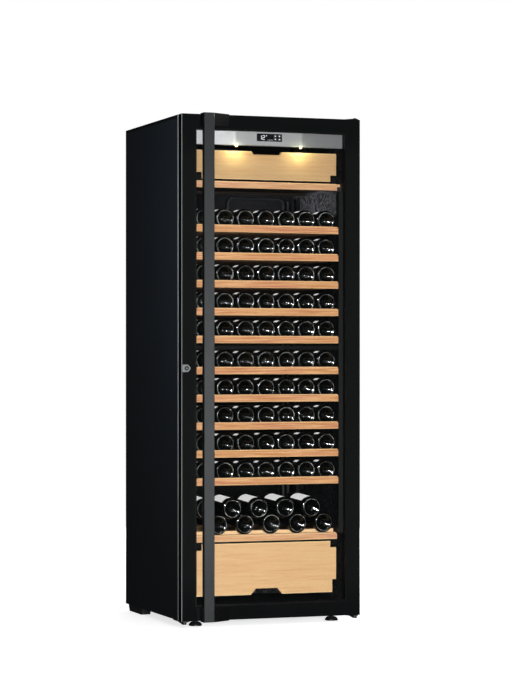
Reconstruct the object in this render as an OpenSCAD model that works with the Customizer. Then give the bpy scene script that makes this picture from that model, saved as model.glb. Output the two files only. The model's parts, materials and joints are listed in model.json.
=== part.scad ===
// Wine cooler: an insulated cabinet with a full glass door hinged on its right, a full-height grip,
// ten sliding beech shelves, a fixed storage shelf and two wooden flaps.
// +Z is up and the front faces -Y. The origin is on the floor, under the centre of the whole object.
// Inside the modules y = 0 is the front plane of the carcass, and from_front() moves it into place.

/* [Carcass] */
// Overall width
cab_w = 680; // [670:1:690]
// Height of the carcass top above the floor
cab_h = 1825; // [1820:1:1840]
// Depth of the carcass behind the door
cab_d = 645; // [640:1:670]
// Height of the carcass underside above the floor
floor_gap = 25; // [23:1:28]
// Thickness of a side wall, skin to liner
wall_t = 48; // [46:1:50]
// Depth of the cold cavity
cavity_d = 545; // [535:1:550]
// Height of the cavity floor above the floor
cavity_floor = 78; // [76:1:82]
// Height of the cavity ceiling above the floor
cavity_top = 1785; // [1782:1:1788]

/* [Door] */
// Thickness of the door, glass to back face
door_t = 40; // [38:1:40]
// Gap that the gasket fills
gasket_t = 5; // [5:1:7]
// Width of the door frame around the view
stile_w = 49; // [46:1:50]
// Thickness of the front pane
pane_t = 4; // [3:1:5]
// Distance of the hinge axis from the door's right edge
hinge_in = 14; // [13:1:15]

/* [Grip] */
// Width of the grip bar
grip_w = 41; // [36:1:46]
// Thickness of the grip bar
grip_t = 16; // [12:1:18]
// Distance that the grip stands out from the glass
grip_out = 38; // [34:1:40]
// Height of each end block of the grip
grip_block_h = 46; // [30:1:60]

/* [Shelves] */
// Width of a sliding shelf
shelf_w = 544; // [540:1:546]
// Depth of a sliding shelf
shelf_d = 504; // [480:1:510]
// Height of a shelf's front board
board_h = 27; // [24:1:28]
// Height from one sliding shelf to the next
shelf_pitch = 99.5; // [98:0.5:100]
// Height of the highest sliding shelf's top
first_shelf_z = 1436.5; // [1434:0.5:1440]
// Extra gap at the middle crossbar
middle_gap = 12; // [12:1:14]
// Spacing of the bottles on a sliding shelf
bottle_pitch = 78; // [77:0.5:78]
// Diameter of a bottle on a sliding shelf
bottle_d = 75; // [73:0.5:75.5]

/* [Storage and flaps] */
// Height of the storage shelf's top
storage_z = 323; // [320:1:325]
// Spacing of the bottles on the storage shelf
storage_pitch = 101.5; // [100:0.5:102]
// Height of the fixed upper shelf's top
upper_z = 1593.5; // [1592:0.5:1595]
// Width of both flaps
flap_w = 540; // [530:1:542]
// Height of the upper flap
upper_flap_h = 102; // [98:1:104]
// Height of the lower flap
lower_flap_h = 186; // [180:1:188]
// Thickness of both flaps
flap_t = 14; // [14:1:16]

/* [Controls] */
// Height of the control fascia
fascia_h = 49; // [46:1:50]
// Half width of the fascia's centre section
fold_x = 127; // [120:1:132]
// Width of the display panel
display_w = 96; // [94:1:100]

/* [Feet] */
// Diameter of a levelling foot
foot_d = 48; // [44:1:52]
// Distance of each front foot from the centre line
foot_x = 262; // [250:1:266]

/* [Hidden] */
$fn = 64;
skin_t = 1.5;                       // outer steel sheet
liner_t = 2;                        // inner liner sheet
half_w = cab_w / 2;
core_w = cab_w - 2 * skin_t;        // between the side skins
cav_w = cab_w - 2 * wall_t;         // between the liner's inner faces
carcass_h = cab_h - floor_gap;
front_y = (door_t + gasket_t + grip_out - cab_d) / 2;
frame_t = 12;                       // depth of the moulded front frame
rear_gap = 45;                      // depth of the open condenser space
rear_panel_t = 2;
rear_y = cab_d - rear_gap;          // back face of the rear panel
step_y = 330;                       // the cavity floor steps up behind here
step_z = 260;
bay_y = 365;                        // front of the compressor bay
bay_z = 235;                        // roof of the compressor bay

glass_y = -door_t - gasket_t;       // front face of the glass
door_play = 0.4;                    // between the door and the hinge plates
door_z = floor_gap + door_play;
door_h = carcass_h - 2 * door_play;
view_w = cab_w - 2 * stile_w;
view_z = floor_gap + stile_w;
view_h = carcass_h - 2 * stile_w;
spacer_t = 6;
inner_pane_t = 3;
seat_play = 0.2;                    // around the inner pane
hinge_x = half_w - hinge_in;
hinge_y = -29;
pin_r = 4;
bush_r = 7;
bush_len = 30;
run_gap = 0.05;                     // radial running clearance
grip_x = -271;                      // left side of the grip
grip_wedge = 67;                    // how far an end block reaches along the glass
grip_over = 2.5;                    // how far the grip passes the glass at each end
gasket_out = 312;                   // half width of the gasket
gasket_w = 18;
gasket_gap = 0.3;

lock_x = -323;
lock_z = 922;
lock_r = 6;
cam_len = 28;
cam_w = 8;
cam_y = 13.5;
cam_t = 3;
slot_w = 16;

board_t = 18;
board_y = -4;                       // front face of a sliding shelf's board
glue_gap = 0.1;
deck_y = board_y + board_t + glue_gap;
rail_side_w = 18;
rail_gap = 0.4;
strip_x = shelf_w / 2 + 4;          // inner face of the shelf strips
cradle_top = 8;                     // how far the cradles stay below the board's top
nest_play = 0.5;                    // between a bottle and its cradle
bottle_up = 22.4;                   // bottle axis above the board's top
bottle_r = bottle_d / 2;
storage_r = 38;
fixed_y = 11;                       // front face of the fixed shelves
fixed_board_h = board_h - 2.5;

pivot_y = 20;                       // both flaps turn about this line
pivot_r = 3;
knuckle_r = 11;
knuckle_w = 22;
notch_gap = 1;
upper_flap_z = 1601;
lower_flap_z = 106;
upper_pivot_z = upper_flap_z + knuckle_r;
lower_pivot_z = lower_flap_z + lower_flap_h - knuckle_r;

fascia_z = 1722;
fascia_y = -16;
fascia_t = 1.5;
wing_x = 288;
wing_y = -2;
display_z = 1738;
display_h = 27;
key_size = [12, 8];
key_gap = 0.3;
key_stand = 1.2;
key_places = [[22, 1757.5], [22, 1745.5], [38, 1757.5], [38, 1745.5]];  // middle of each key
board_face_y = fascia_y + 5;        // front of the control box, which backs the display panel

fan_r = 58;
fan_z = 1690;
fan_depth = 38;
fan_y = cavity_d - fan_depth;

foot_y = 40;
stem_r = 5;
inlet_x = -235;
inlet_z = 130;
inlet_size = [50, 30];
inlet_cavity = [24.6, 16.4];

function two(n) = n < 10 ? str("0", n) : str(n);
function shelf_name(n) = str("shelf_", two(n));
function shelf_z(n) = first_shelf_z - (n - 1) * shelf_pitch - (n > 5 ? middle_gap : 0);

// ---- helpers ----

// Moves the front plane of the carcass from y = 0 to its place.
module from_front() { translate([0, front_y, 0]) children(); }

// A box from its lowest corner to its highest corner.
module span(low, high) { translate(low) cube(high - low); }

// A box of full width w, centred on x = 0.
module centred(w, y, z) { span([-w / 2, y[0], z[0]], [w / 2, y[1], z[1]]); }

// A rectangular ring in the XZ plane, inside and outside given as [width, low z, high z].
module ring(outside, inside, y) {
    difference() {
        centred(outside[0], y, [outside[1], outside[2]]);
        centred(inside[0], [y[0] - 1, y[1] + 1], [inside[1], inside[2]]);
    }
}

// A cylinder along +Y from the point given.
module rod_y(at, r, len) { translate(at) rotate([-90, 0, 0]) cylinder(r = r, h = len); }

// A cylinder along +X from the point given.
module rod_x(at, r, len) { translate(at) rotate([0, 90, 0]) cylinder(r = r, h = len); }

// A YZ outline extruded along X over the width w, centred on x = x0.
module profile_x(points, w, x0 = 0) {
    translate([x0 - w / 2, 0, 0]) rotate([90, 0, 90]) linear_extrude(w) polygon(points);
}

module mirrored_x() {
    children();
    mirror([1, 0, 0]) children();
}

// ---- carcass ----

// One side skin, with folded returns at its bottom and rear.
module side_panel() {
    return_w = 14;
    span([half_w - skin_t, 0, floor_gap], [half_w, cab_d, cab_h]);
    span([half_w - return_w, cab_d - skin_t, floor_gap], [half_w, cab_d, cab_h]);
}

module side_panel_right() { color("#17181a") from_front() side_panel(); }

module side_panel_left() { color("#17181a") from_front() mirror([1, 0, 0]) side_panel(); }

module top_panel() {
    color("#17181a") from_front() centred(core_w, [0, cab_d - skin_t], [cab_h - skin_t, cab_h]);
}

// Rear skin, with a ledge at its foot that roofs the compressor bay.
module rear_panel() {
    color("#2b2c2e") from_front() {
        centred(core_w, [rear_y - rear_panel_t, rear_y], [bay_z, cab_h - skin_t]);
        centred(core_w, [rear_y - rear_panel_t, cab_d - 4], [bay_z, bay_z + skin_t]);
    }
}

// The bottom plate carries the welded sockets of the two levelling feet.
module base_plate() {
    plate_t = 2;
    socket_r = 12;
    socket_h = 32;
    color("#222326") from_front() difference() {
        union() {
            centred(core_w, [0, cab_d - skin_t], [floor_gap, floor_gap + plate_t]);
            for (x = [-foot_x, foot_x])
                translate([x, foot_y, floor_gap]) cylinder(r = socket_r, h = socket_h);
        }
        for (x = [-foot_x, foot_x])
            translate([x, foot_y, floor_gap - 1]) cylinder(r = stem_r + run_gap, h = socket_h + 2);
    }
}

// Outline of the cavity in the YZ plane, grown by g on its closed sides.
function cavity_outline(g) = [
    [frame_t, cavity_floor - g], [step_y + g, cavity_floor - g], [step_y + g, step_z - g],
    [cavity_d + g, step_z - g], [cavity_d + g, cavity_top + g], [frame_t, cavity_top + g]];

// Foam between the skins and the liner, with the pocket behind the lock and those over the feet.
module insulation() {
    floor_z = floor_gap + 2;
    pocket_r = 15.5;
    foot_pocket_r = 12.1;
    foot_pocket_h = 35;
    color("#c9b98f") from_front() difference() {
        profile_x([[frame_t, floor_z], [rear_y - rear_panel_t, floor_z],
                   [rear_y - rear_panel_t, cab_h - skin_t], [frame_t, cab_h - skin_t]], core_w);
        translate([0, -1, 0]) profile_x(cavity_outline(liner_t), cav_w + 2 * liner_t);
        profile_x(cavity_outline(liner_t), cav_w + 2 * liner_t);
        centred(cav_w + 2 * liner_t, [bay_y, cab_d], [0, bay_z]);
        rod_y([lock_x, frame_t - 1, lock_z], pocket_r, 8);
        for (x = [-foot_x, foot_x])
            translate([x, foot_y, 0]) cylinder(r = foot_pocket_r, h = floor_gap + foot_pocket_h);
    }
}

module inner_liner() {
    color("#3a3b3e") from_front() difference() {
        profile_x(cavity_outline(liner_t), cav_w + 2 * liner_t);
        profile_x(cavity_outline(0), cav_w);
        translate([0, -1, 0]) profile_x(cavity_outline(0), cav_w);
    }
}

// Moulded frame on the carcass front that the gasket closes on, with the slot for the lock's cam.
module front_frame() {
    color("#101112") from_front() difference() {
        ring([core_w, floor_gap + 2, cab_h - skin_t], [cav_w, cavity_floor, cavity_top], [0, frame_t]);
        translate([lock_x, frame_t / 2, lock_z]) cube([slot_w, frame_t + 2, cam_len + 4], center = true);
    }
}

module hinge_outline(reach) {
    polygon([[hinge_x - 36, 62], [half_w - 2, 62], [half_w - 2, reach + 4], [half_w - 6, reach],
             [hinge_x - 8, reach], [hinge_x - 36, 2]]);
}

// Top hinge plate with the pin that the door's upper bush turns on.
module hinge_plate_top() {
    plate_t = 4;
    color("#1c1d1f") from_front() {
        translate([0, 0, cab_h]) linear_extrude(plate_t) hinge_outline(hinge_y - 9);
        translate([hinge_x, hinge_y, cab_h - bush_len + 4]) cylinder(r = pin_r, h = bush_len);
        translate([hinge_x, hinge_y, cab_h + plate_t]) cylinder(r1 = 6, r2 = 4.5, h = 2.5);
    }
}

// Plate under a front corner with a sloping rib that ends in a boss under the hinge line.
module bottom_bracket() {
    plate_t = 4;
    boss_h = 8;
    rib_w = 14;
    translate([0, 0, floor_gap - plate_t]) linear_extrude(plate_t) hinge_outline(hinge_y - 9);
    translate([hinge_x, hinge_y, floor_gap - plate_t - boss_h]) cylinder(r = 8, h = boss_h);
    profile_x([[40, floor_gap - plate_t], [hinge_y, floor_gap - plate_t],
               [hinge_y, floor_gap - plate_t - boss_h]], rib_w, hinge_x);
}

module hinge_plate_bottom() {
    color("#1c1d1f") from_front() {
        bottom_bracket();
        translate([hinge_x, hinge_y, floor_gap - 4]) cylinder(r = pin_r, h = bush_len);
    }
}

module corner_bracket() { color("#1c1d1f") from_front() mirror([1, 0, 0]) bottom_bracket(); }

// ---- standing on the floor ----

module foot() {
    hex_r = 9;
    translate([foot_x, foot_y, 0]) {
        rotate_extrude() polygon([[0, 0], [foot_d / 2 - 1.5, 0], [foot_d / 2, 1.5], [foot_d / 2, 4],
                                  [foot_d / 2 - 2, 8], [foot_d / 2 - 5, 11.5], [foot_d / 2 - 9, 14],
                                  [0, 14]]);
        translate([0, 0, 14]) cylinder(r = hex_r, h = 6, $fn = 6);
        cylinder(r = stem_r, h = floor_gap + 30);
    }
}

module foot_right() { color("#26272a") from_front() foot(); }

module foot_left() { color("#26272a") from_front() mirror([1, 0, 0]) foot(); }

// Runners that carry the rear and let the cabinet tip back and slide.
module rear_skids() {
    skid_w = 34;
    color("#8b8d90") from_front() mirrored_x()
        profile_x([[440, floor_gap], [452, 3], [458, 0], [604, 0], [610, 3], [622, floor_gap]],
                  skid_w, half_w - 4 - skid_w / 2);
}

// ---- shelf hardware ----

// Upright strips on both walls, two a side, with peg holes down their inner faces.
module shelf_strips() {
    strip_w = 24;
    peg_r = 2.2;
    color("#2a2b2d") from_front() mirrored_x() for (y = [2, 440]) difference() {
        span([strip_x, y, storage_z], [cav_w / 2, y + strip_w, upper_z - board_h]);
        for (z = [350:50:1540]) rod_x([strip_x - 1, y + strip_w / 2, z], peg_r, 5);
    }
}

// L-shaped runner on each side of every sliding shelf.
module slide_rail(z) {
    lip_w = 21;
    sheet = 2;
    rail_len = 450;
    translate([0, deck_y + 2, z]) rotate([90, 0, 0]) mirror([0, 0, 1]) linear_extrude(rail_len)
        polygon([[strip_x - lip_w, -board_h - rail_gap - sheet], [strip_x, -board_h - rail_gap - sheet],
                 [strip_x, -12], [strip_x - sheet, -12], [strip_x - sheet, -board_h - rail_gap],
                 [strip_x - lip_w, -board_h - rail_gap]]);
}

module slide_rails() {
    color("#55575a") from_front() mirrored_x() for (n = [1:10]) slide_rail(shelf_z(n));
}

// A cross-piece with one hollow for each bottle: x0 is the first axis, z the height of the axes.
module cradle(w, y, low, high, x0, count, pitch, r, axis_z) {
    cradle_t = 20;
    difference() {
        centred(w, [y, y + cradle_t], [low, high]);
        for (k = [0:count - 1]) rod_y([x0 + k * pitch, y - 1, axis_z], r, cradle_t + 2);
    }
}

// The front board of a shelf, with bevelled front edges and cut upper end corners.
module front_board(w, y, low, high) {
    bevel = 1.5;
    cut_x = 4;
    cut_z = 6;
    difference() {
        profile_x([[y + bevel, low], [y + board_t, low], [y + board_t, high], [y + bevel, high],
                   [y, high - bevel], [y, low + bevel]], w);
        mirrored_x() translate([w / 2, y + board_t + 1, high]) rotate([90, 0, 0])
            linear_extrude(board_t + 2)
                polygon([[-1.5 * cut_x, cut_z / 2], [cut_x / 2, -1.5 * cut_z], [cut_x / 2, cut_z / 2]]);
    }
}

// A beech shelf: a front board, and a frame of side members, cross slats and bottle cradles.
module sliding_shelf(n) {
    z = shelf_z(n);
    low = z - board_h;
    slat_top = z - 17;
    frame_w = shelf_w - 2;
    back_y = board_y + shelf_d;
    slat_rows = [130, 270, 390];
    cradle_rows = [64, 190, 330, 440];
    color("#c98d50") from_front() {
        front_board(shelf_w, board_y, low, z);
        for (side = [-1, 1])
            translate([side * (frame_w - rail_side_w) / 2, 0, 0])
                centred(rail_side_w, [deck_y, back_y], [low, z - cradle_top]);
        for (y = slat_rows) centred(frame_w, [y, y + 20], [low, slat_top]);
        centred(frame_w, [back_y - 18, back_y], [low, z - cradle_top]);
        for (y = cradle_rows)
            cradle(frame_w, y, low, z - cradle_top, -3 * bottle_pitch, 7, bottle_pitch,
                   bottle_r + nest_play, z + bottle_up);
    }
}

// Fixed shelf below the upper flap. Its deck stops short of the back wall, so that air passes.
module upper_shelf() {
    deck_t = 10;
    deck_back = 392;
    lip_t = 12;
    color("#cf9a60") from_front() {
        front_board(shelf_w + 2, fixed_y, upper_z - fixed_board_h, upper_z);
        centred(cav_w - 1, [fixed_y + board_t, deck_back], [upper_z - deck_t, upper_z]);
        centred(cav_w - 1, [deck_back - lip_t, deck_back], [upper_z - 2 * deck_t, upper_z - deck_t]);
    }
}

// Fixed shelf for a stack of larger bottles, with deeper cradles.
module storage_shelf() {
    low = storage_z - fixed_board_h;
    first_x = -1.75 * storage_pitch;
    axis_z = storage_z - 1.5 + storage_r;
    back_y = cavity_d - 25;
    slat_rows = [150, 290, 390];
    cradle_rows = [46, 210, 340, 450];
    color("#cf9a60") from_front() {
        front_board(shelf_w + 2, fixed_y, low, storage_z);
        for (side = [-1, 1]) translate([side * (shelf_w / 2 - 8), 0, 0])
            centred(18, [fixed_y + board_t, back_y], [low, storage_z]);
        for (y = slat_rows) centred(shelf_w, [y, y + 40], [low, storage_z - 8]);
        centred(shelf_w, [back_y - 18, back_y], [low, storage_z]);
        for (y = cradle_rows)
            cradle(shelf_w, y, low, storage_z + 12, first_x, 5, storage_pitch,
                   storage_r + nest_play, axis_z);
    }
}

// Thin bar that ties the front strips together halfway up.
module middle_crossbar() {
    z = shelf_z(5) - board_h - 4;
    color("#1d1e20") from_front() centred(2 * strip_x, [4, 12], [z - 18, z - 4]);
}

// ---- cold side and machinery ----

// Cold plate on the back wall.
module evaporator_panel() {
    color("#84888c") from_front() {
        centred(400, [cavity_d - 8, cavity_d], [300, 1520]);
        for (x = [-150, -50, 50, 150]) translate([x, 0, 0])
            centred(24, [cavity_d - 12, cavity_d - 8], [320, 1500]);
    }
}

// Two tubes up the rear right corner of the cavity; one turns over the cold plate and drops to it.
module refrigerant_lines() {
    tube_r = 5;
    bend_r = 20;
    y = cavity_d - 16;
    run_z = 1569;
    riser_x = 256;
    drop_x = 31;
    color("#4a4c4f") from_front() {
        translate([riser_x, y, step_z]) cylinder(r = tube_r, h = run_z - bend_r - step_z);
        translate([riser_x - bend_r, y, run_z - bend_r]) rotate([90, 0, 0])
            rotate_extrude(angle = 90) translate([bend_r, 0]) circle(tube_r);
        rod_x([drop_x + bend_r, y, run_z], tube_r, riser_x - drop_x - 2 * bend_r);
        translate([drop_x + bend_r, y, run_z - bend_r]) rotate([90, 0, 0]) rotate([0, 0, 90])
            rotate_extrude(angle = 90) translate([bend_r, 0]) circle(tube_r);
        translate([drop_x, y, 1516]) cylinder(r = tube_r, h = run_z - bend_r - 1516);
        translate([276, y, step_z]) cylinder(r = tube_r, h = 1300);
    }
}

// Square fan frame with three spokes and a bearing boss.
module fan_housing() {
    size = 2 * fan_r + 14;
    color("#202124") from_front() {
        difference() {
            translate([0, fan_y + fan_depth / 2, fan_z]) cube([size, fan_depth, size], center = true);
            rod_y([0, fan_y - 1, fan_z], fan_r, fan_depth + 2);
        }
        translate([0, fan_y + fan_depth - 6, fan_z]) difference() {
            union() {
                rod_y([0, 0, 0], 16, 6);
                for (a = [0, 120, 240]) rotate([0, a, 0]) span([-3, 0, 0], [3, 4, fan_r + 3]);
            }
            rod_y([0, -1, 0], pin_r + run_gap, 8);
        }
    }
}

// Seven pitched blades on a hub, turning on a shaft along Y.
module fan_rotor() {
    blade_count = 7;
    hub_r = 20;
    color("#303236") from_front() translate([0, fan_y + 6, fan_z]) {
        rod_y([0, 0, 0], hub_r, 20);
        rod_y([0, 18, 0], pin_r, fan_depth - 26);
        for (k = [0:blade_count - 1]) rotate([0, k * 360 / blade_count, 0])
            translate([0, 10, 0]) rotate([0, 0, 28]) span([-12, -1, hub_r - 4], [12, 1, fan_r - 5]);
    }
}

// Round filter cartridge in the back wall.
module charcoal_filter() {
    color("#1a1b1c") from_front() difference() {
        rod_y([200, cavity_d - 18, fan_z], 32, 18);
        for (a = [0:45:315]) rod_y([200 + 18 * cos(a), cavity_d - 19, fan_z + 18 * sin(a)], 4, 10);
    }
}

// Hermetic compressor on its foot plate: a hollow shell with a terminal box and two tube stubs.
module compressor() {
    shell_r = 82;
    wall = 5;
    color("#0f1012") from_front() translate([110, 505, floor_gap + 2]) {
        span([-100, -70, 0], [100, 70, 3]);
        difference() {
            rotate_extrude() polygon([[0, 3], [shell_r - 12, 3], [shell_r, 22], [shell_r, 120],
                                      [shell_r - 8, 148], [shell_r - 30, 168], [0, 176]]);
            rotate_extrude() polygon([[0, 10], [shell_r - 18, 10], [shell_r - wall, 25],
                                      [shell_r - wall, 118], [shell_r - 16, 142], [0, 166]]);
        }
        span([-104, -30, 40], [wall - shell_r, 30, 90]);
        for (y = [-26, 10]) translate([0, y, 168]) cylinder(r = 5, h = 26);
    }
}

// Plate condenser on four brackets, with a serpentine tube on its back.
module condenser() {
    passes = 12;
    pass_gap = 100;
    tube_r = 4;
    plate_y = rear_y + 16;
    tube_y = plate_y + 5;
    run_w = 440;
    first_z = 420;
    color("#1b1c1e") from_front() {
        centred(500, [plate_y, plate_y + 2], [380, 1560]);
        for (x = [-220, 220], z = [400, 1530]) translate([x, 0, z]) centred(24, [rear_y, plate_y], [-8, 8]);
        for (k = [0:passes - 1]) rod_x([-run_w / 2, tube_y, first_z + k * pass_gap], tube_r, run_w);
        for (k = [0:passes - 2]) translate([(k % 2 == 0 ? 1 : -1) * run_w / 2, tube_y,
                                            first_z + (k + 0.5) * pass_gap])
            rotate([90, k % 2 == 0 ? 90 : -90, 0]) rotate_extrude(angle = 180)
                translate([pass_gap / 2, 0]) circle(tube_r);
    }
}

// Slotted cover over the compressor bay, with the cut-out of the power inlet.
module rear_grille() {
    slot_h = 6;
    hole_h = inlet_size[1] - 4;
    color("#232427") from_front() difference() {
        centred(core_w, [cab_d - 6, cab_d - 4], [floor_gap + 2, bay_z]);
        for (z = [50:14:210], x = [-60, 180])
            translate([x, 0, 0]) centred(200, [cab_d - 7, cab_d - 3], [z, z + slot_h]);
        translate([inlet_x, 0, inlet_z])
            centred(inlet_size[0] - 9, [cab_d - 7, cab_d - 3], [-hole_h / 2, hole_h / 2]);
    }
}

// Three-pin appliance inlet; its socket opens to the rear.
module power_inlet() {
    body_w = inlet_size[0] - 10;
    body_h = inlet_size[1] - 5;
    color("#0c0d0e") from_front() translate([inlet_x, cab_d, inlet_z]) {
        difference() {
            union() {
                centred(inlet_size[0], [-4, -1], [-inlet_size[1] / 2, inlet_size[1] / 2]);
                centred(body_w, [-30, -4], [-body_h / 2, body_h / 2]);
            }
            centred(inlet_cavity[0], [-20, 0], [-inlet_cavity[1] / 2, inlet_cavity[1] / 2]);
        }
        for (pin = [[-7, 0], [7, 0], [0, 4]])
            translate([pin[0], 0, pin[1]]) centred(2, [-22, -5], [-2, 2]);
    }
}

// Pan-head screws of the rear panel and of the top hinge plate.
module screws() {
    head = [[0, 0], [4.5, 0], [4.5, 1.2], [3, 2.4], [0, 2.4]];
    color("#9a9c9f") from_front() {
        for (x = [-320, 320], z = [300:290:1750])
            translate([x, rear_y, z]) rotate([-90, 0, 0]) rotate_extrude() polygon(head);
        for (p = [[300, 20], [326, 20], [326, 48]])
            translate([p[0], p[1], cab_h + 4]) rotate_extrude() polygon(head);
    }
}

// ---- controls ----

// Outline of the folded fascia: a flat centre and two wings that run back.
function fascia_outline(g) = [[-wing_x, wing_y + g], [-fold_x, fascia_y + g], [fold_x, fascia_y + g],
                              [wing_x, wing_y + g]];

module control_fascia() {
    flange_y = 12;
    color("#b9bbbd") from_front() difference() {
        union() {
            translate([0, 0, fascia_z]) linear_extrude(fascia_h)
                polygon(concat(fascia_outline(0), [for (k = [3:-1:0]) fascia_outline(fascia_t)[k]]));
            translate([0, 0, fascia_z]) linear_extrude(fascia_t)
                polygon(concat(fascia_outline(0.5), [[wing_x, flange_y], [-wing_x, flange_y]]));
        }
        centred(display_w + 0.4, [fascia_y - 1, fascia_y + fascia_t + 1],
                [display_z - 0.2, display_z + display_h + 0.2]);
    }
}

module display_window() {
    color("#0b0c0e") from_front() difference() {
        centred(display_w, [fascia_y - 1.5, board_face_y], [display_z, display_z + display_h]);
        for (p = key_places) translate([p[0], 0, p[1]])
            centred(key_size[0] + 2 * key_gap, [fascia_y - 3, board_face_y + 1],
                    [-key_size[1] / 2 - key_gap, key_size[1] / 2 + key_gap]);
    }
}

module key(n) {
    color("#6c7076") from_front() translate([key_places[n][0], 0, key_places[n][1]])
        centred(key_size[0], [fascia_y - 1.5 - key_stand, fascia_y + 2.5],
                [-key_size[1] / 2, key_size[1] / 2]);
}

module key_up() { key(0); }

module key_down() { key(1); }

module key_light() { key(2); }

module key_set() { key(3); }

// Box of the control electronics behind the fascia.
module control_board() {
    color("#26282b") from_front() {
        centred(240, [board_face_y, 34], [fascia_z + fascia_t, fascia_z + fascia_h - 3]);
        centred(200, [2, 34], [fascia_z + fascia_t, cavity_top]);
    }
}

// Two downlights under the fascia's folds.
module lamps() {
    color("#fff2c0") from_front() mirrored_x() translate([fold_x - 4, fascia_y + 7, fascia_z])
        rotate_extrude() polygon([[0, 0], [5.5, 0], [5.5, -3.5], [4, -6], [0, -7]]);
}

// ---- flaps ----

// A flap with a square notch at each hinge corner and a bevelled finger notch on its free edge.
// hinge_end is 0 when it turns at its bottom and 1 when it turns at its top.
module flap(low, h, hinge_end, finger_h, finger_w) {
    high = low + h;
    free_z = hinge_end == 0 ? high : low;
    dir = hinge_end == 0 ? -1 : 1;
    corner = knuckle_w + notch_gap;
    slope = finger_h - 2;
    hinge_z = hinge_end == 0 ? low + knuckle_r : high - knuckle_r;
    corner_z = hinge_end == 0 ? [low - 1, hinge_z + knuckle_r + notch_gap]
                              : [hinge_z - knuckle_r - notch_gap, high + 1];
    difference() {
        centred(flap_w, [pivot_y - flap_t / 2, pivot_y + flap_t / 2], [low, high]);
        mirrored_x() span([flap_w / 2 - corner, 0, corner_z[0]], [flap_w, 2 * pivot_y, corner_z[1]]);
        translate([0, pivot_y + 10, 0]) rotate([90, 0, 0]) linear_extrude(20)
            polygon([[-finger_w / 2 - slope, free_z - dir], [finger_w / 2 + slope, free_z - dir],
                     [finger_w / 2, free_z + dir * finger_h], [-finger_w / 2, free_z + dir * finger_h]]);
        mirrored_x() rod_x([flap_w / 2 - corner - 20, pivot_y, hinge_z], pivot_r + run_gap, 30);
    }
}

module upper_flap() { color("#d9b27c") from_front() flap(upper_flap_z, upper_flap_h, 0, 11, 100); }

// The lower flap also has a notch at its free right corner, which clears the drain outlet.
module lower_flap() {
    drain_notch = [15, 46];
    color("#dcb985") from_front() difference() {
        flap(lower_flap_z, lower_flap_h, 1, 22, 82);
        span([flap_w / 2 - drain_notch[0], 0, lower_flap_z - 1],
             [flap_w / 2 + 1, 2 * pivot_y, lower_flap_z + drain_notch[1]]);
    }
}

// Black knuckle with the pin that a flap turns on; foot_z is the fixed shelf's face that it sits on.
module knuckle(z, foot_z) {
    x = flap_w / 2 - knuckle_w;
    rod_x([x, pivot_y, z], knuckle_r, knuckle_w);
    rod_x([x - 18, pivot_y, z], pivot_r, 20);
    span([x, pivot_y - knuckle_r + 2, min(z, foot_z)], [x + knuckle_w, pivot_y + knuckle_r, max(z, foot_z)]);
}

module flap_hinge_blocks() {
    color("#141517") from_front() mirrored_x() {
        knuckle(upper_pivot_z, upper_z);
        knuckle(lower_pivot_z, storage_z - fixed_board_h);
    }
}

// ---- door ----

module hinge_holes(r) {
    translate([hinge_x, hinge_y, door_z - 1]) cylinder(r = r, h = bush_len + 1);
    translate([hinge_x, hinge_y, door_z + door_h - bush_len]) cylinder(r = r, h = bush_len + 1);
}

// Front pane over the whole door, with the lock's hole.
module door_glass_outer() {
    color([0.1, 0.11, 0.12, 0.35]) from_front() difference() {
        centred(cab_w, [glass_y, glass_y + pane_t], [door_z, door_z + door_h]);
        rod_y([lock_x, glass_y - 1, lock_z], lock_r + 2, pane_t + 2);
    }
}

module glass_spacer() {
    w = view_w - 2 * seat_play;
    bar = 7;
    color("#050505") from_front()
        ring([w, view_z + seat_play, view_z + view_h - seat_play],
             [w - 2 * bar, view_z + bar, view_z + view_h - bar],
             [glass_y + pane_t, glass_y + pane_t + spacer_t]);
}

module door_glass_inner() {
    y = glass_y + pane_t + spacer_t;
    color([0.6, 0.65, 0.65, 0.25]) from_front()
        centred(view_w - 2 * seat_play, [y, y + inner_pane_t],
                [view_z + seat_play, view_z + view_h - seat_play]);
}

// Frame behind the front pane, bored for the hinge bushes and the lock.
module door_frame() {
    color("#141517") from_front() difference() {
        ring([cab_w, door_z, door_z + door_h], [view_w, view_z, view_z + view_h],
             [glass_y + pane_t, -gasket_t]);
        hinge_holes(bush_r);
        rod_y([lock_x, glass_y, lock_z], lock_r + run_gap, door_t + 2);
    }
}

module hinge_bushes() {
    color("#d8d2c0") from_front() difference() {
        for (z = [door_z, door_z + door_h - bush_len])
            translate([hinge_x, hinge_y, z]) cylinder(r = bush_r, h = bush_len);
        hinge_holes(pin_r + run_gap);
        translate([hinge_x, hinge_y, door_z + bush_len - 1]) cylinder(r = pin_r + run_gap, h = 2);
        translate([hinge_x, hinge_y, door_z + door_h - bush_len - 1]) cylinder(r = pin_r + run_gap, h = 2);
    }
}

module door_gasket() {
    inner = gasket_out - gasket_w;
    color("#3c3d36") from_front()
        ring([2 * gasket_out, view_z - 15, view_z + view_h + 18],
             [2 * inner, view_z + 3, view_z + view_h], [-gasket_t, -gasket_gap]);
}

// Full-height grip with bevelled front edges.
module handle_bar() {
    bevel = 2.5;
    y0 = glass_y - grip_out;
    x1 = grip_x + grip_w;
    color("#4b4d50") from_front() translate([0, 0, door_z - grip_over])
        linear_extrude(door_h + 2 * grip_over)
            polygon([[grip_x + bevel, y0], [x1 - bevel, y0], [x1, y0 + bevel], [x1, y0 + grip_t],
                     [grip_x, y0 + grip_t], [grip_x, y0 + bevel]]);
}

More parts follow.
